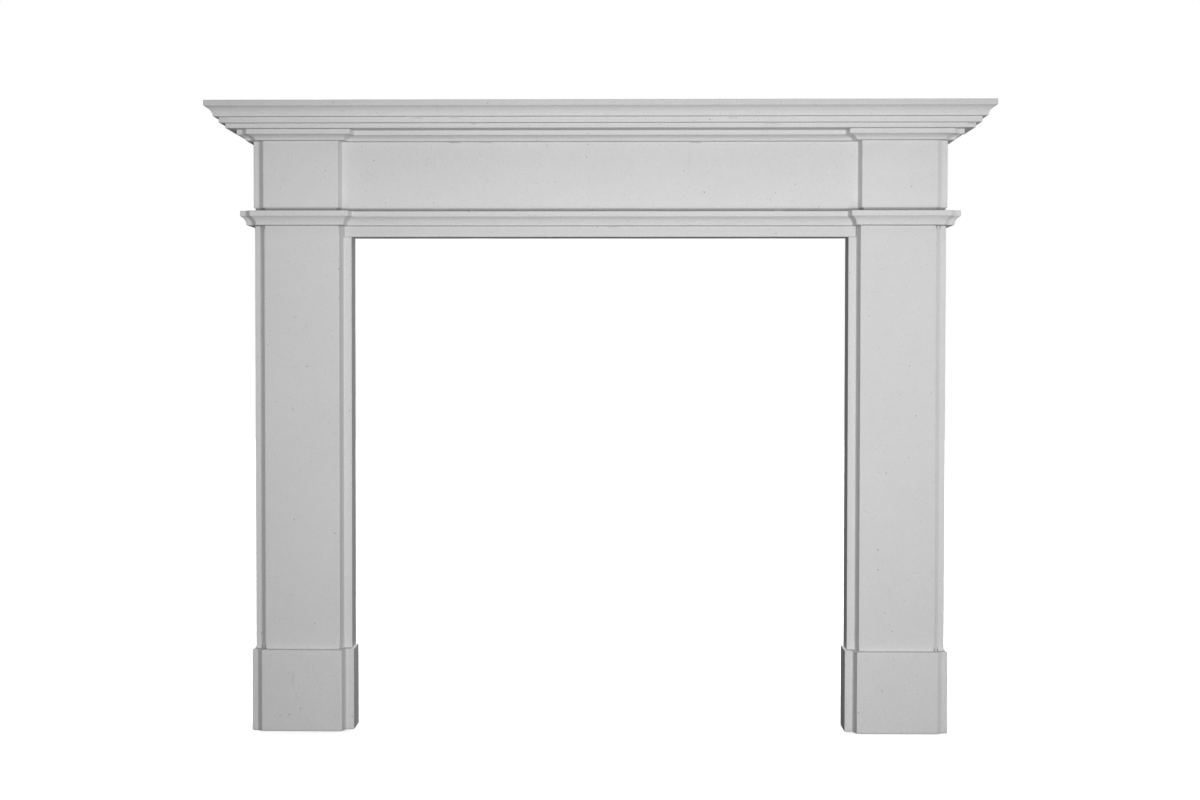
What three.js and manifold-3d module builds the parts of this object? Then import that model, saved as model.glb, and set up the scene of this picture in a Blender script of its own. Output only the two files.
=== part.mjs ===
// A fireplace mantelpiece in pale stone: two pilaster legs on plinth blocks, a lintel with a
// necking moulding, a frieze with end blocks and a bed moulding, and a moulded shelf.
// Millimetres, +Z up. The front faces -Y. The origin is on the floor, in the plane of the
// pilaster faces, halfway between the wall behind and the shelf's front edge.
import * as THREE from "three";
import { mergeVertices } from "three/addons/utils/BufferGeometryUtils.js";
import Module from "manifold-3d";

// Widths across one leg, from the opening outwards
const OPENING_WIDTH = 940;
const SLIP_WIDTH = 14.5; // flat margin beside the opening
const INNER_SPLAY = 6; // width of the raised face's sloping side towards the opening
const FACE_WIDTH = 141.5; // raised pilaster face
const OUTER_SPLAY = 10.3; // width of its sloping side towards the end
const STRIP_WIDTH = 9.5; // flat margin at the end
const BLOCK_SHIFT = 2.3; // the blocks over the legs sit this much further out than the legs

// Depths, from front to back
const WALL_Y = 72; // flat back of every piece
const FACE_RISE = 21; // the raised face stands this far in front of the slip
const OUTER_RISE = 9; // and this far in front of the strip at the end
const PLINTH_PROUD = 13; // plinth blocks stand this far in front of the legs
const PLINTH_MARGIN = 5; // and are this much wider on each side
const COVE_STEEPNESS = 0.8; // 0 drops the sloping side square to the slip, 1 makes it straight
const COVE_STEPS = 5;

// Heights from the floor
const PLINTH_TOP = 154;
const OPENING_HEIGHT = 935.4;
const NECKING_FOOT = 955.5;
const NECKING_TOP = 982.8;
const FRIEZE_FOOT = 989.2; // lower edge of the frieze face, above the recessed joint
const BED_FOOT = 1114.5;
const SHELF_FOOT = 1134;
const SHELF_TOP = 1182.5;

// Mouldings: how far each member projects, and how high its square edge is
const NECKING = { lip: 21.5, foot: 11.5, edge: 10.5 };
const BED = { lip: 26.5, foot: 12.5, edge: 9.2 };
const CROWN = { lip: 79.2, foot: 64.7, edge: 11 };
const SHELF_FILLETS = [
  { projection: 45.7, top: 1142.5 },
  { projection: 55.7, top: 1153 },
];
const JOINT_SETBACK = 3; // the joint under the frieze is sunk this far
const CAVETTO_SWEEP = (68 * Math.PI) / 180; // part of a quarter turn that each hollow runs through
const CAVETTO_STEPS = 7;
const LEDGE_FALL = 0.4; // a ledge or soffit is this much out of level from edge to root
const BAND_CLEARANCE = 0.5; // between the lintel's lower band and the pilasters

const STONE = { color: 0xc9c9c7, roughness: 0.86, metalness: 0 };

// Stations across a leg, measured from the middle of the opening
const SLIP_X = OPENING_WIDTH / 2;
const INNER_FOOT_X = SLIP_X + SLIP_WIDTH;
const FACE_START_X = INNER_FOOT_X + INNER_SPLAY;
const FACE_END_X = FACE_START_X + FACE_WIDTH;
const OUTER_FOOT_X = FACE_END_X + OUTER_SPLAY;
const END_X = OUTER_FOOT_X + STRIP_WIDTH;
const SHELF_ROOT_Y = CROWN.lip - WALL_Y; // plane that the shelf's members project from

const wasm = await Module();
wasm.setup();

// Points of a hollow sloping side, from the raised face's arris to its foot, both left out
function coveBetween(arris, foot) {
  const bend = new THREE.Vector2(arris.x + (foot.x - arris.x) * COVE_STEEPNESS, foot.y);
  const curve = new THREE.QuadraticBezierCurve(arris, bend, foot);
  return curve.getPoints(COVE_STEPS).slice(1, -1);
}

// Front outline of one raised face with its two sloping sides, from the opening outwards.
// The whole outline grows by margin to the sides and by proud to the front.
function raisedOutline(margin, proud) {
  const outerLow = OUTER_RISE - proud;
  const innerFoot = new THREE.Vector2(INNER_FOOT_X - margin, FACE_RISE - proud);
  const faceStart = new THREE.Vector2(FACE_START_X - margin, -proud);
  const faceEnd = new THREE.Vector2(FACE_END_X + margin, -proud);
  const outerFoot = new THREE.Vector2(OUTER_FOOT_X + margin, outerLow);
  return [
    innerFoot,
    ...coveBetween(faceStart, innerFoot).reverse(),
    faceStart,
    faceEnd,
    ...coveBetween(faceEnd, outerFoot),
    outerFoot,
    new THREE.Vector2(END_X + margin, outerLow),
  ];
}

function mirrored(points) {
  return points.map((point) => new THREE.Vector2(-point.x, point.y)).reverse();
}

// Plan of the lintel and frieze, with a raised block at each end and the panel between them
function headerPlan(projection) {
  const shift = new THREE.Vector2(BLOCK_SHIFT, 0);
  const right = raisedOutline(projection, projection).map((point) => point.add(shift));
  const endX = END_X + BLOCK_SHIFT + projection;
  return [
    new THREE.Vector2(-endX, WALL_Y),
    ...mirrored(right),
    ...right,
    new THREE.Vector2(endX, WALL_Y),
  ];
}

// Plan of the shelf, which runs straight across both blocks
function shelfPlan(projection) {
  const endX = END_X + projection;
  const frontY = SHELF_ROOT_Y - projection;
  return [
    new THREE.Vector2(-endX, WALL_Y),
    new THREE.Vector2(-endX, frontY),
    new THREE.Vector2(endX, frontY),
    new THREE.Vector2(endX, WALL_Y),
  ];
}

// Profile of a moulding from its foot up: a hollow that sweeps out to a square edge
function mouldingProfile(moulding, footZ, topZ) {
  const edgeZ = topZ - moulding.edge;
  const profile = [];
  for (let step = 0; step <= CAVETTO_STEPS; step += 1) {
    const angle = (CAVETTO_SWEEP * step) / CAVETTO_STEPS;
    const out = (1 - Math.cos(angle)) / (1 - Math.cos(CAVETTO_SWEEP));
    const up = Math.sin(angle) / Math.sin(CAVETTO_SWEEP);
    profile.push({
      projection: THREE.MathUtils.lerp(moulding.foot, moulding.lip, out),
      z: THREE.MathUtils.lerp(footZ + LEDGE_FALL, edgeZ, up),
    });
  }
  profile.push({ projection: moulding.lip, z: topZ });
  return profile;
}

// A closed solid through the plan at each level of a profile, from the lowest up
function loft(plan, profile) {
  const rings = profile.map((level) => plan(level.projection));
  const count = rings[0].length;
  const positions = rings.flatMap((ring, i) => ring.flatMap((p) => [p.x, p.y, profile[i].z]));
  const indices = [];
  for (let level = 0; level + 1 < rings.length; level += 1) {
    for (let side = 0; side < count; side += 1) {
      const a = level * count + side;
      const b = level * count + ((side + 1) % count);
      indices.push(a, b, b + count, a, b + count, a + count);
    }
  }
  const lastRing = (rings.length - 1) * count;
  for (const [a, b, c] of THREE.ShapeUtils.triangulateShape(rings[0], [])) {
    indices.push(a, c, b);
  }
  for (const [a, b, c] of THREE.ShapeUtils.triangulateShape(rings.at(-1), [])) {
    indices.push(lastRing + a, lastRing + b, lastRing + c);
  }
  const geometry = new THREE.BufferGeometry();
  geometry.setAttribute("position", new THREE.Float32BufferAttribute(positions, 3));
  geometry.setIndex(indices);
  geometry.computeVertexNormals();
  return geometry;
}

// A plan outline raised from one height to another
function prism(points, fromZ, toZ) {
  const geometry = new THREE.ExtrudeGeometry(new THREE.Shape(points), {
    depth: toZ - fromZ,
    bevelEnabled: false,
  });
  return geometry.translate(0, 0, fromZ);
}

function solidOf(geometry) {
  const bare = new THREE.BufferGeometry();
  bare.setAttribute("position", geometry.getAttribute("position"));
  bare.setIndex(geometry.index);
  const merged = mergeVertices(bare);
  return new wasm.Manifold(
    new wasm.Mesh({
      numProp: 3,
      vertProperties: merged.getAttribute("position").array,
      triVerts: new Uint32Array(merged.index.array),
    }),
  );
}

function joined(first, second) {
  const mesh = solidOf(first).add(solidOf(second)).getMesh();
  const geometry = new THREE.BufferGeometry();
  geometry.setAttribute("position", new THREE.BufferAttribute(mesh.vertProperties, 3));
  geometry.setIndex(new THREE.BufferAttribute(mesh.triVerts, 1));
  geometry.computeVertexNormals();
  return geometry;
}

function piece(name, geometry) {
  const mesh = new THREE.Mesh(geometry, new THREE.MeshStandardMaterial(STONE));
  mesh.name = name;
  return mesh;
}

// Outlines are drawn for the right side. The left side's are mirrored.
function sided(points, side) {
  return side === "left" ? mirrored(points) : points;
}

function plinth(side) {
  const innerX = SLIP_X - PLINTH_MARGIN;
  const endX = END_X + PLINTH_MARGIN;
  const outline = [
    new THREE.Vector2(innerX, WALL_Y),
    new THREE.Vector2(innerX, FACE_RISE - PLINTH_PROUD),
    ...raisedOutline(PLINTH_MARGIN, PLINTH_PROUD),
    new THREE.Vector2(endX, WALL_Y),
  ];
  return piece(`${side}_plinth`, prism(sided(outline, side), 0, PLINTH_TOP));
}

// The pilaster rises to the necking, and its slip stops under the lintel's lower band
function leg(side) {
  const pilaster = [
    new THREE.Vector2(INNER_FOOT_X, WALL_Y),
    ...raisedOutline(0, 0),
    new THREE.Vector2(END_X, WALL_Y),
  ];
  const slip = [
    new THREE.Vector2(SLIP_X, WALL_Y),
    new THREE.Vector2(SLIP_X, FACE_RISE),
    new THREE.Vector2(FACE_START_X, FACE_RISE),
    new THREE.Vector2(FACE_START_X, WALL_Y),
  ];
  const tall = prism(sided(pilaster, side), PLINTH_TOP, NECKING_FOOT);
  const short = prism(sided(slip, side), PLINTH_TOP, OPENING_HEIGHT);
  return piece(`${side}_leg`, joined(tall, short));
}

// Necking moulding over the whole width, and a plain band flush with the slips below it
function lintel() {
  const profile = [
    { projection: 0, z: NECKING_FOOT },
    ...mouldingProfile(NECKING, NECKING_FOOT, NECKING_TOP),
  ];
  const bandX = INNER_FOOT_X - BAND_CLEARANCE;
  const band = [
    new THREE.Vector2(-bandX, WALL_Y),
    new THREE.Vector2(-bandX, FACE_RISE),
    new THREE.Vector2(bandX, FACE_RISE),
    new THREE.Vector2(bandX, WALL_Y),
  ];
  const overlapZ = (NECKING_FOOT + NECKING_TOP) / 2;
  return piece("lintel", joined(loft(headerPlan, profile), prism(band, OPENING_HEIGHT, overlapZ)));
}

// Frieze with its end blocks and bed moulding, over a recessed joint
function frieze() {
  return piece(
    "frieze",
    loft(headerPlan, [
      { projection: -JOINT_SETBACK, z: NECKING_TOP },
      { projection: -JOINT_SETBACK, z: FRIEZE_FOOT - LEDGE_FALL },
      { projection: 0, z: FRIEZE_FOOT },
      { projection: 0, z: BED_FOOT },
      ...mouldingProfile(BED, BED_FOOT, SHELF_FOOT),
    ]),
  );
}

// Shelf with two stepped fillets under a crown moulding, returned at both ends
function mantelShelf() {
  const profile = [];
  let footZ = SHELF_FOOT;
  for (const fillet of SHELF_FILLETS) {
    profile.push({ projection: fillet.projection, z: footZ });
    profile.push({ projection: fillet.projection, z: fillet.top });
    footZ = fillet.top + LEDGE_FALL;
  }
  profile.push(...mouldingProfile(CROWN, SHELF_FILLETS.at(-1).top, SHELF_TOP));
  return piece("mantel_shelf", loft(shelfPlan, profile));
}

const mantelpiece = new THREE.Group();
for (const side of ["left", "right"]) {
  mantelpiece.add(plinth(side), leg(side));
}
mantelpiece.add(lintel(), frieze(), mantelShelf());

export default mantelpiece;
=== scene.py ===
"""Looks of a plain classical mantelpiece in pale, fine-grained stone.

Each solid of the frame is refined into a stone piece: its arrises are worn round, its faces are a
little uneven and small air holes are cut into it. One procedural stone covers all of them.
Lengths are in metres, in the frame's axes: +X right, +Y to the wall, +Z up.
"""

import math
import random

import bmesh
import bpy
from mathutils import Matrix, Vector, noise
from mathutils.bvhtree import BVHTree


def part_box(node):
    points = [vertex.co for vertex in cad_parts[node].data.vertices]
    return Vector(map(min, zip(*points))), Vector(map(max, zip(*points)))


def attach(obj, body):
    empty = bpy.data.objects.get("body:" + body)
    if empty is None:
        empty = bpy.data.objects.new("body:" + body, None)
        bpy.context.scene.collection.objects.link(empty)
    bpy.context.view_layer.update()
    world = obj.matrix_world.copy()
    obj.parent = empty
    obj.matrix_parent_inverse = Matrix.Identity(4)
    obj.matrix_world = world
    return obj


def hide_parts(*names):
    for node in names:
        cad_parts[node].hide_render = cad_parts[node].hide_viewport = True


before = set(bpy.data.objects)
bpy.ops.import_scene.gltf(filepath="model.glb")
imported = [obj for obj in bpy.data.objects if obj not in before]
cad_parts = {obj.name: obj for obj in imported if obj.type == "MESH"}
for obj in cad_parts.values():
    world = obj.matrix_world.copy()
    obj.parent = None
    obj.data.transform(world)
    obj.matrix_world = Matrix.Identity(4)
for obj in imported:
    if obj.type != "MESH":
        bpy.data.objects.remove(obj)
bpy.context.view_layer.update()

BODY = "root"
MM = 0.001

# Camera: place, turn in radians, and focal length and shift in pixels of the photograph
PHOTO_WIDTH_PX = 1200
FOCAL_LENGTH_PX = 1802.67
FRAME_SHIFT_PX = 16.73
SENSOR_WIDTH_MM = 36.0
CAMERA_PLACE = (0.0365, -3.3965, 0.7085)
CAMERA_YAW = -0.01948
CAMERA_PITCH = 0.02391
CAMERA_ROLL = -0.00102

# Arrises: how far each piece's edges are worn round
ARRIS_WEAR = {
    "mantel_shelf": 1.5 * MM,
    "frieze": 1.2 * MM,
    "lintel": 1.4 * MM,
    "left_leg": 1.4 * MM,
    "right_leg": 1.4 * MM,
    "left_plinth": 2.2 * MM,
    "right_plinth": 2.2 * MM,
}
ARRIS_ANGLE = math.radians(24)  # flatter edges are left as they are
ARRIS_SEGMENTS = 3
ARRIS_ROUNDNESS = 0.5
ARRIS_RUB = 0.25 * MM
ARRIS_RUB_PER_M = 34
JOINT_REACH = 0.8 * MM  # an edge this close to another solid is in a joint
SMOOTH_ANGLE = math.radians(32)

# Unevenness of the faces
GRID_STEP = 12 * MM
FLAT_ANGLE = math.radians(0.3)
WELD = 0.01 * MM
SWELL = 0.25 * MM
SWELL_PER_M = 9
RIPPLE = 0.06 * MM
RIPPLE_PER_M = 55

# Air holes
HOLE_SEED = 71
HOLES_PER_M2 = 420
HOLE_RADIUS = 0.5 * MM
HOLE_RADIUS_SPREAD = 1.0 * MM
HOLE_RADIUS_POWER = 3  # most holes are near the smallest size
HOLE_SPACING = 5 * MM
HOLE_STRETCH = (0.75, 1.35)
HOLE_DEPTH = (0.6, 1.0)
HOLE_JITTER = 0.14
HOLE_MATERIAL_INDEX = 1

# Lightness of the stone: its middle value, and noises that swing around it
STONE_TONE = 0.60
TONE_NOISES = {
    "clouds": {"per_m": 7, "detail": 3, "amount": 0.035},
    "mottling": {"per_m": 45, "detail": 3, "amount": 0.03},
    "grain": {"per_m": 560, "detail": 3, "amount": 0.20},
}
# Painted shade inside the air holes: a darker colour for their stone
HOLE_PAINTED_SHADE_TONE = 0.30
HOLE_PAINTED_SHADE_NOISE = {"per_m": 120, "detail": 2, "amount": 0.2}

# Dark specks: cells per metre, radius in cells, share of cells that hold one, and weight
SPECKS = {
    "large": {"per_m": 150, "radius": 0.17, "share": 0.36, "weight": 1.0},
    "small": {"per_m": 380, "radius": 0.24, "share": 0.30, "weight": 0.6},
}
SPECK_CORE = 0.5  # part of the radius that is fully dark
SPECK_DARKNESS = 0.16
SPECK_SINK = 0.6  # how far a speck sinks, against the height of the grain

# Finish of the stone
STONE_ROUGHNESS = 0.78
STONE_SPECULAR = 0.3
ROUGHNESS_NOISE = {"per_m": 140, "detail": 3, "amount": 0.16}
STONE_BUMP = {"per_m": 700, "detail": 4, "strength": 0.35, "height": 0.25 * MM}
HOLE_BUMP = {"per_m": 900, "detail": 3, "strength": 0.4, "height": 0.2 * MM}

# Painted shade on the shelf's top and edge: their colour is darkened, from none to full between two
# heights
SHELF_PAINTED_SHADE_FROM = 1.168
SHELF_PAINTED_SHADE_TO = 1.174
SHELF_PAINTED_SHADE = 0.075

# Painted shade in the sunk joint under the frieze, as a darker colour
JOINT_HEIGHT = 6.4 * MM
JOINT_EDGE = 0.3 * MM
JOINT_PAINTED_SHADE = 0.22

# Marks on the stone: middle, half sizes and how much darker
MARKS = {
    "plinth smudge": ((-0.5777, -0.0130, 0.1010), (0.0035, 0.0100, 0.0170), 0.085),
    "plinth dot": ((-0.5721, -0.0130, 0.0707), (0.0030, 0.0100, 0.0030), 0.10),
    "frieze hairline": ((0.1703, 0.0210, 1.0780), (0.0022, 0.0120, 0.0420), 0.05),
}

# Studio floor and the light that falls on it alone
FLOOR_TONE = 0.86
FLOOR_ROUGHNESS = 0.9
FLOOR_SPECULAR = 0.1
FLOOR_HALF_WIDTH = 12.0
FLOOR_LIGHT = 3.7
FLOOR_LIGHT_SPREAD = math.radians(60)

# Studio lights on the stone. Sizes are width and height, spreads are in degrees.
WHITE = (1, 1, 1, 1)
BACKGROUND = 1.0
AMBIENT = 0.085
BACK_LIGHT = 2.4
BACK_LIGHT_SPREAD = math.radians(10)
BACK_LIGHT_FROM = (0.0, 1.0, 0.7)
LIGHTS = {
    "key": {
        "place": (0.36, -2.4, 0.80),
        "aim": (0.0, 0.0, 0.80),
        "size": (1.1, 1.1),
        "watts": 51,
        "spread": 180,
    },
    "top": {
        "place": (0.30, -1.2, 2.60),
        "aim": (0.0, 0.0, 0.80),
        "size": (1.6, 0.8),
        "watts": 6,
        "spread": 180,
    },
    "low": {
        "place": (0.15, -1.6, 0.10),
        "aim": (0.1, 0.0, 1.00),
        "size": (1.4, 0.2),
        "watts": 1.1,
        "spread": 90,
    },
    "left side": {
        "place": (-2.3, 0.10, 0.80),
        "aim": (-0.64, 0.0, 0.75),
        "size": (0.1, 1.6),
        "watts": 1.8,
        "spread": 180,
    },
    "right side": {
        "place": (2.3, 0.06, 0.80),
        "aim": (0.64, 0.0, 0.75),
        "size": (0.1, 1.6),
        "watts": 9,
        "spread": 180,
    },
}


def add_to_scene(thing):
    bpy.context.scene.collection.objects.link(thing)


def vector_between(low, high, share):
    return low + (high - low) * share


def wave(place, per_m):
    """A smooth noise from 0 to 1, with so many swings per metre."""
    return 0.5 + 0.5 * noise.noise(place * per_m)


# Shapes of the stone pieces
def neighbour_trees(node_name):
    """Search trees of the other solids, to find the edges that lie against them."""
    trees = []
    for name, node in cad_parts.items():
        if name != node_name:
            points = [vertex.co for vertex in node.data.vertices]
            faces = [face.vertices for face in node.data.polygons]
            trees.append(BVHTree.FromPolygons(points, faces))
    return trees


def is_worn(edge, neighbours):
    """True for an outward arris that stands free. An edge in a joint stays crisp."""
    if not edge.is_convex or edge.calc_face_angle(0) < ARRIS_ANGLE:
        return False
    middle = (edge.verts[0].co + edge.verts[1].co) / 2
    return all(tree.find_nearest(middle, JOINT_REACH)[0] is None for tree in neighbours)


def wear_arrises(solid, width, neighbours):
    """Rounds the free outward edges and remembers the new strips in a face layer."""
    arris = solid.faces.layers.int.new("arris")
    rounded = bmesh.ops.bevel(
        solid,
        geom=[edge for edge in solid.edges if is_worn(edge, neighbours)],
        offset=width,
        offset_type="OFFSET",
        segments=ARRIS_SEGMENTS,
        profile=ARRIS_ROUNDNESS,
        affect="EDGES",
        clamp_overlap=True,
    )
    for face in rounded["faces"]:
        face[arris] = 1


def cut_grid(solid, low, high):
    """Cuts the faces along regular planes on each axis, so that they can be made uneven."""
    for axis in range(3):
        normal = Vector((0, 0, 0))
        normal[axis] = 1
        steps = max(1, round((high[axis] - low[axis]) / GRID_STEP))
        for step in range(1, steps):
            place = vector_between(low, high, step / steps)
            everything = solid.verts[:] + solid.edges[:] + solid.faces[:]
            bmesh.ops.bisect_plane(solid, geom=everything, plane_co=place, plane_no=normal, dist=WELD)


def refined_mesh(node_name):
    """A bmesh of the node's solid with worn arrises and a regular grid of cuts across its faces."""
    solid = bmesh.new()
    solid.from_mesh(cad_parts[node_name].data)
    bmesh.ops.remove_doubles(solid, verts=solid.verts, dist=WELD)
    bmesh.ops.dissolve_limit(
        solid, angle_limit=FLAT_ANGLE, verts=solid.verts, edges=solid.edges, delimit=set()
    )
    wear_arrises(solid, ARRIS_WEAR[node_name], neighbour_trees(node_name))
    cut_grid(solid, *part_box(node_name))
    return solid


def wave_depth(place):
    """How far the waves sink the surface at a place."""
    return SWELL * wave(place, SWELL_PER_M) + RIPPLE * wave(place, RIPPLE_PER_M)


def roughen(solid):
    """Sinks the vertices by small waves, and the arrises by a little more here and there."""
    arris = solid.faces.layers.int["arris"]
    solid.normal_update()
    sunk = []
    for vertex in solid.verts:
        place = vertex.co
        depth = wave_depth(place)
        if any(face[arris] for face in vertex.link_faces):
            depth += ARRIS_RUB * max(0.0, noise.noise(place * ARRIS_RUB_PER_M))
        sunk.append(place - vertex.normal * depth)
    for vertex, place in zip(solid.verts, sunk):
        vertex.co = place


def point_in_triangle(corners, picker):
    """A random point of a triangle, as likely in one part of it as in another."""
    low, high = sorted((picker.random(), picker.random()))
    return corners[0] * low + corners[1] * (high - low) + corners[2] * (1 - high)


def cells_around(cell):
    """The cell itself and the cells that touch it."""
    steps = (-1, 0, 1)
    return {(cell[0] + i, cell[1] + j, cell[2] + k) for i in steps for j in steps for k in steps}


def hole_places(node_name, picker):
    """Random places on a solid, spread by area, with the surface's direction at each.

    They are picked on the frame's own triangles, whose order is the same in every run.
    """
    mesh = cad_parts[node_name].data
    areas = [face.area for face in mesh.polygons]
    wanted = round(sum(areas) * HOLES_PER_M2)
    taken = set()
    places = []
    for face in picker.choices(mesh.polygons[:], weights=areas, k=wanted):
        place = point_in_triangle([mesh.vertices[index].co for index in face.vertices], picker)
        place -= face.normal * wave_depth(place)
        cell = tuple(round(value / HOLE_SPACING) for value in place)
        if taken.isdisjoint(cells_around(cell)):
            taken.add(cell)
            places.append((place, face.normal.copy()))
    return places


def add_pebble(pebbles, place, normal, picker):
    """One small uneven pebble, flat on the surface at a place."""
    radius = HOLE_RADIUS + HOLE_RADIUS_SPREAD * picker.random() ** HOLE_RADIUS_POWER
    long_side = radius * picker.uniform(*HOLE_STRETCH)
    depth = radius * picker.uniform(*HOLE_DEPTH)
    turn = normal.to_track_quat("Z", "Y").to_matrix().to_4x4()
    spin = Matrix.Rotation(picker.uniform(0, math.tau), 4, "Z")
    shape = Matrix.Diagonal((long_side, radius, depth, 1))
    matrix = Matrix.Translation(place) @ turn @ spin @ shape
    made = bmesh.ops.create_icosphere(pebbles, subdivisions=1, radius=1, matrix=matrix)
    for vertex in made["verts"]:
        swing = picker.uniform(1 - HOLE_JITTER, 1 + HOLE_JITTER)
        vertex.co = place + (vertex.co - place) * swing


def mesh_object(name, shape, materials):
    """A new object in the scene with the mesh of a bmesh."""
    mesh = bpy.data.meshes.new(name)
    shape.to_mesh(mesh)
    for material in materials:
        mesh.materials.append(material)
    made = bpy.data.objects.new(name, mesh)
    add_to_scene(made)
    return made


def hole_cutter(name, node_name, materials, picker):
    """One object that holds a small uneven pebble at each air hole."""
    pebbles = bmesh.new()
    for place, normal in hole_places(node_name, picker):
        add_pebble(pebbles, place, normal, picker)
    for face in pebbles.faces:
        face.material_index = HOLE_MATERIAL_INDEX
    cutter = mesh_object(name, pebbles, materials)
    pebbles.free()
    return cutter


def with_holes(piece, cutter):
    """The piece's mesh after the cutter is taken out of it. The cutter is removed."""
    cut = piece.modifiers.new("air holes", "BOOLEAN")
    cut.operation = "DIFFERENCE"
    cut.solver = "MANIFOLD"
    cut.object = cutter
    seen = piece.evaluated_get(bpy.context.evaluated_depsgraph_get())
    mesh = bpy.data.meshes.new_from_object(seen)
    piece.modifiers.clear()
    bpy.data.objects.remove(cutter)
    return mesh


def shade(piece):
    """Smooth shading inside the worn arrises, flat faces kept flat."""
    piece.data.shade_smooth()
    piece.data.set_sharp_from_angle(angle=SMOOTH_ANGLE)
    weighted = piece.modifiers.new("flat faces", "WEIGHTED_NORMAL")
    weighted.keep_sharp = True


def stone_piece(node_name, materials, picker):
    """The finished stone piece that stands for one solid of the frame."""
    solid = refined_mesh(node_name)
    roughen(solid)
    name = "stone_" + node_name
    piece = mesh_object(name, solid, materials)
    solid.free()
    cutter = hole_cutter(name + "_holes", node_name, materials, picker)
    piece.data = with_holes(piece, cutter)
    piece.data.name = name
    shade(piece)
    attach(piece, BODY)
    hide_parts(node_name)


# Stone materials
def set_input(tree, socket, value):
    """Links a socket to another one, or sets it to a plain value."""
    if isinstance(value, bpy.types.NodeSocket):
        tree.links.new(value, socket)
    else:
        socket.default_value = value


def add_node(tree, kind, settings=None, **inputs):
    """A shader node with its settings made and its inputs set or linked. A _ in a name is a space."""
    made = tree.nodes.new(kind)
    for name, value in (settings or {}).items():
        setattr(made, name, value)
    for name, value in inputs.items():
        set_input(tree, made.inputs[name.replace("_", " ")], value)
    return made


def operation_node(tree, kind, operation, *values):
    """The result of one Math or Vector Math node."""
    made = add_node(tree, kind, {"operation": operation})
    for socket, value in zip(made.inputs, values):
        set_input(tree, socket, value)
    return made.outputs[0]


def math_node(tree, operation, *values):
    return operation_node(tree, "ShaderNodeMath", operation, *values)


def vector_node(tree, operation, *values):
    return operation_node(tree, "ShaderNodeVectorMath", operation, *values)


def noise_field(tree, place, settings):
    """A noise around 0, about -0.5 to 0.5, with so many swings per metre."""
    field = add_node(
        tree, "ShaderNodeTexNoise", Vector=place, Scale=settings["per_m"], Detail=settings["detail"]
    )
    return math_node(tree, "SUBTRACT", field.outputs[0], 0.5)


def speck_field(tree, place, per_m, radius, share):
    """1 inside scattered round specks, 0 between them. The share of cells that hold a speck is given."""
    cells = add_node(tree, "ShaderNodeTexVoronoi", Vector=place, Scale=per_m)
    spot = add_node(
        tree,
        "ShaderNodeMapRange",
        Value=cells.outputs["Distance"],
        From_Min=radius * SPECK_CORE,
        From_Max=radius,
        To_Min=1.0,
        To_Max=0.0,
    )
    chance = add_node(tree, "ShaderNodeSeparateColor", Color=cells.outputs["Color"])
    chosen = math_node(tree, "LESS_THAN", chance.outputs[0], share)
    return math_node(tree, "MULTIPLY", spot.outputs[0], chosen)


def all_specks(tree, place):
    """The sum of all kinds of specks, each with its weight."""
    total = 0.0
    for kind in SPECKS.values():
        field = speck_field(tree, place, kind["per_m"], kind["radius"], kind["share"])
        total = math_node(tree, "MULTIPLY_ADD", field, kind["weight"], total)
    return total


def blot_field(tree, place, middle, half_sizes):
    """1 at the middle of one soft blot, 0 outside it."""
    moved = vector_node(tree, "SUBTRACT", place, middle)
    scaled = vector_node(tree, "DIVIDE", moved, half_sizes)
    ball = add_node(tree, "ShaderNodeTexGradient", {"gradient_type": "SPHERICAL"}, Vector=scaled)
    return ball.outputs[1]


def height_of(tree, place):
    return add_node(tree, "ShaderNodeSeparateXYZ", Vector=place).outputs["Z"]


def painted_shelf_shade(tree, place):
    """1 on the shelf's top and edge, where shade is painted into the colour, 0 below."""
    return add_node(
        tree,
        "ShaderNodeMapRange",
        Value=height_of(tree, place),
        From_Min=SHELF_PAINTED_SHADE_FROM,
        From_Max=SHELF_PAINTED_SHADE_TO,
    ).outputs[0]


def painted_joint_shade(tree, place):
    """1 in the sunk joint under the frieze, where shade is painted into the colour, 0 elsewhere."""
    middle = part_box("frieze")[0].z + JOINT_HEIGHT / 2
    reach = JOINT_HEIGHT / 2 - JOINT_EDGE
    return math_node(tree, "COMPARE", height_of(tree, place), middle, reach)


def stone_tone(tree, place, specks):
    """The stone's lightness: clouds, mottling, grain, specks, marks, and painted shade on the shelf and
    in the joint under the frieze.
    """
    layers = [(noise_field(tree, place, kind), kind["amount"]) for kind in TONE_NOISES.values()]
    layers.append((specks, -SPECK_DARKNESS))
    # painted shade on the shelf's top and edge
    layers.append((painted_shelf_shade(tree, place), -SHELF_PAINTED_SHADE))
    # painted shade in the sunk joint under the frieze
    layers.append((painted_joint_shade(tree, place), -JOINT_PAINTED_SHADE))
    for middle, half_sizes, amount in MARKS.values():
        layers.append((blot_field(tree, place, middle, half_sizes), -amount))
    tone = STONE_TONE
    for field, amount in layers:
        tone = math_node(tree, "MULTIPLY_ADD", field, amount, tone)
    return tone


def new_material(name):
    """A new material with its node tree, its shader and the place on the object."""
    material = bpy.data.materials.new(name)
    material.use_nodes = True
    tree = material.node_tree
    place = tree.nodes.new("ShaderNodeTexCoord").outputs["Object"]
    return material, tree, tree.nodes["Principled BSDF"], place


def finish_stone(tree, shader, place, tone, relief, bump_settings):
    """Gives a stone shader its lightness, its roughness and its fine relief."""
    swing = noise_field(tree, place, ROUGHNESS_NOISE)
    rough = math_node(tree, "MULTIPLY_ADD", swing, ROUGHNESS_NOISE["amount"], STONE_ROUGHNESS)
    bump = add_node(
        tree,
        "ShaderNodeBump",
        Height=relief,
        Strength=bump_settings["strength"],
        Distance=bump_settings["height"],
    )
    set_input(tree, shader.inputs["Base Color"], tone)
    set_input(tree, shader.inputs["Roughness"], rough)
    set_input(tree, shader.inputs["Specular IOR Level"], STONE_SPECULAR)
    set_input(tree, shader.inputs["Normal"], bump.outputs[0])


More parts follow.
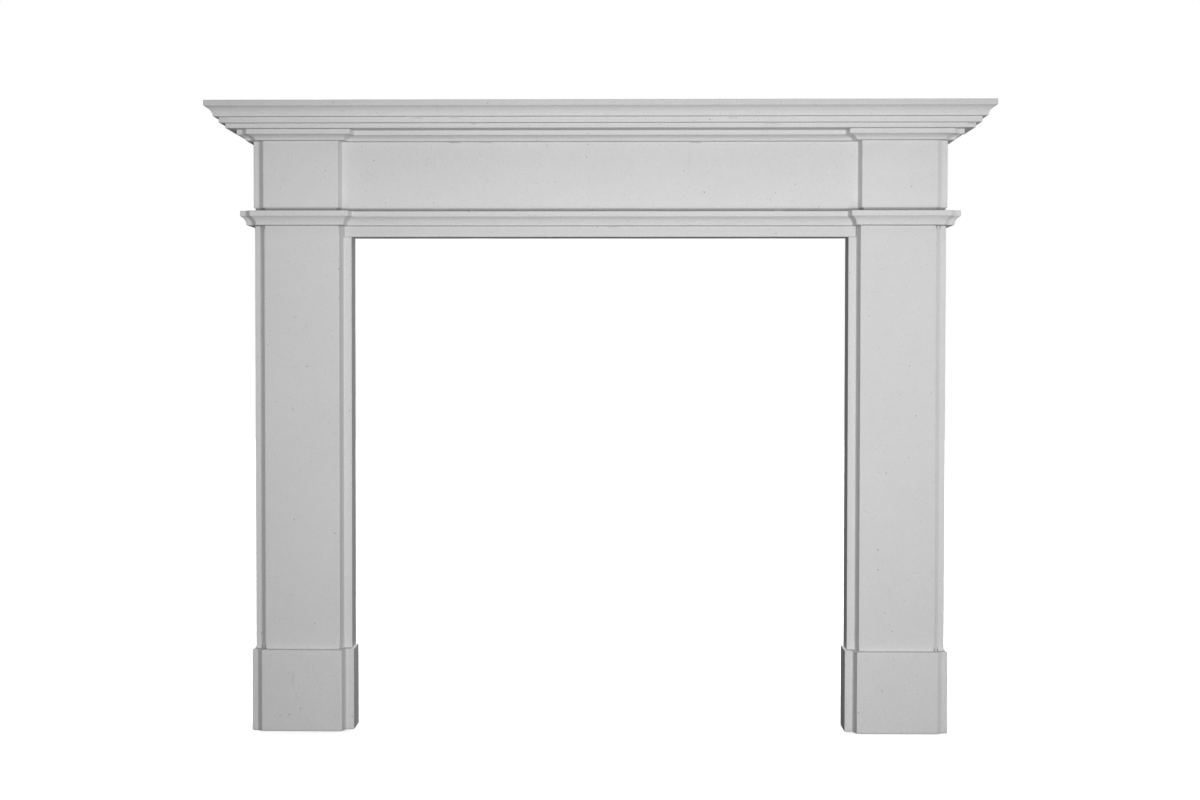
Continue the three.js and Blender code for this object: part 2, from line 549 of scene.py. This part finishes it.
def stone_material():
    """Pale grey stone with a fine grain and small dark specks."""
    material, tree, shader, place = new_material("pale_stone")
    specks = all_specks(tree, place)
    tone = stone_tone(tree, place, specks)
    grain = noise_field(tree, place, STONE_BUMP)
    relief = math_node(tree, "MULTIPLY_ADD", specks, -SPECK_SINK, grain)
    finish_stone(tree, shader, place, tone, relief, STONE_BUMP)
    return material


def painted_shade_hole_material():
    """Stone inside the air holes, darkened in colour as painted shade."""
    material, tree, shader, place = new_material("air_hole_painted_shade")
    swing = noise_field(tree, place, HOLE_PAINTED_SHADE_NOISE)
    tone = math_node(tree, "MULTIPLY_ADD", swing, HOLE_PAINTED_SHADE_NOISE["amount"], HOLE_PAINTED_SHADE_TONE)
    finish_stone(tree, shader, place, tone, noise_field(tree, place, HOLE_BUMP), HOLE_BUMP)
    return material


# Studio
def paper_material():
    """Plain pale paper for the floor."""
    material, tree, shader, _ = new_material("pale_paper")
    set_input(tree, shader.inputs["Base Color"], (FLOOR_TONE, FLOOR_TONE, FLOOR_TONE, 1))
    set_input(tree, shader.inputs["Roughness"], FLOOR_ROUGHNESS)
    set_input(tree, shader.inputs["Specular IOR Level"], FLOOR_SPECULAR)
    return material


def sun_light(name, strength, spread):
    """A distant light that shines straight down until it is turned."""
    lamp = bpy.data.lights.new(name, "SUN")
    lamp.energy = strength
    lamp.angle = spread
    holder = bpy.data.objects.new(name, lamp)
    add_to_scene(holder)
    return holder


def studio_floor():
    """A pale, wide floor under a light of its own, so that the light on the stone can be set apart."""
    half = FLOOR_HALF_WIDTH
    corners = [(-half, -half, 0), (half, -half, 0), (half, half, 0), (-half, half, 0)]
    mesh = bpy.data.meshes.new("studio_floor")
    mesh.from_pydata(corners, [], [(0, 1, 2, 3)])
    mesh.materials.append(paper_material())
    floor = bpy.data.objects.new("studio_floor", mesh)
    floor.visible_diffuse = False
    floor.visible_glossy = False
    stage = bpy.data.collections.new("stage")
    bpy.context.scene.collection.children.link(stage)
    stage.objects.link(floor)
    light = sun_light("floor_light", FLOOR_LIGHT, FLOOR_LIGHT_SPREAD)
    light.light_linking.receiver_collection = stage


def studio_lights():
    """Soft area lights, each turned to the point that it is aimed at."""
    for name, light in LIGHTS.items():
        lamp = bpy.data.lights.new(name, "AREA")
        lamp.shape = "RECTANGLE"
        lamp.size, lamp.size_y = light["size"]
        lamp.energy = light["watts"]
        lamp.spread = math.radians(light["spread"])
        holder = bpy.data.objects.new(name, lamp)
        direction = Vector(light["aim"]) - Vector(light["place"])
        holder.rotation_euler = direction.to_track_quat("-Z", "Y").to_euler()
        holder.location = light["place"]
        add_to_scene(holder)


def back_light():
    """Light from behind and above, for the back and the shelf's top."""
    light = sun_light("back_light", BACK_LIGHT, BACK_LIGHT_SPREAD)
    light.rotation_euler = Vector(BACK_LIGHT_FROM).to_track_quat("Z", "Y").to_euler()


def studio_world():
    """White behind the object, and dim even light from all round."""
    world = bpy.data.worlds.new("studio")
    world.use_nodes = True
    tree = world.node_tree
    dim = tree.nodes["Background"]
    set_input(tree, dim.inputs["Color"], WHITE)
    set_input(tree, dim.inputs["Strength"], AMBIENT)
    white = add_node(tree, "ShaderNodeBackground", Color=WHITE, Strength=BACKGROUND)
    both = tree.nodes.new("ShaderNodeMixShader")
    seen = tree.nodes.new("ShaderNodeLightPath").outputs["Is Camera Ray"]
    for socket, source in zip(both.inputs, (seen, dim.outputs[0], white.outputs[0])):
        tree.links.new(source, socket)
    tree.links.new(both.outputs[0], tree.nodes["World Output"].inputs["Surface"])
    bpy.context.scene.world = world


def photo_camera():
    """The photograph's camera, from its place, its turn and its focal length in photo pixels."""
    ahead = Vector((math.sin(CAMERA_YAW), math.cos(CAMERA_YAW), 0))
    side = Vector((math.cos(CAMERA_YAW), -math.sin(CAMERA_YAW), 0))
    level_up = Vector((0, 0, 1))
    forward = ahead * math.cos(CAMERA_PITCH) - level_up * math.sin(CAMERA_PITCH)
    up = ahead * math.sin(CAMERA_PITCH) + level_up * math.cos(CAMERA_PITCH)
    right = side * math.cos(CAMERA_ROLL) - up * math.sin(CAMERA_ROLL)
    top = side * math.sin(CAMERA_ROLL) + up * math.cos(CAMERA_ROLL)
    lens = bpy.data.cameras.new("photo_camera")
    lens.sensor_width = SENSOR_WIDTH_MM
    lens.lens = FOCAL_LENGTH_PX / PHOTO_WIDTH_PX * SENSOR_WIDTH_MM
    lens.shift_x = FRAME_SHIFT_PX / PHOTO_WIDTH_PX
    camera = bpy.data.objects.new("photo_camera", lens)
    turn = Matrix((right, top, -forward)).transposed()
    camera.matrix_world = Matrix.Translation(CAMERA_PLACE) @ turn.to_4x4()
    add_to_scene(camera)
    bpy.context.scene.camera = camera


photo_camera()
studio_world()
studio_lights()
back_light()
studio_floor()
bpy.context.scene.view_settings.view_transform = "Standard"

hole_picker = random.Random(HOLE_SEED)
stone_and_holes = (stone_material(), painted_shade_hole_material())
for node_name in ARRIS_WEAR:
    stone_piece(node_name, stone_and_holes, hole_picker)
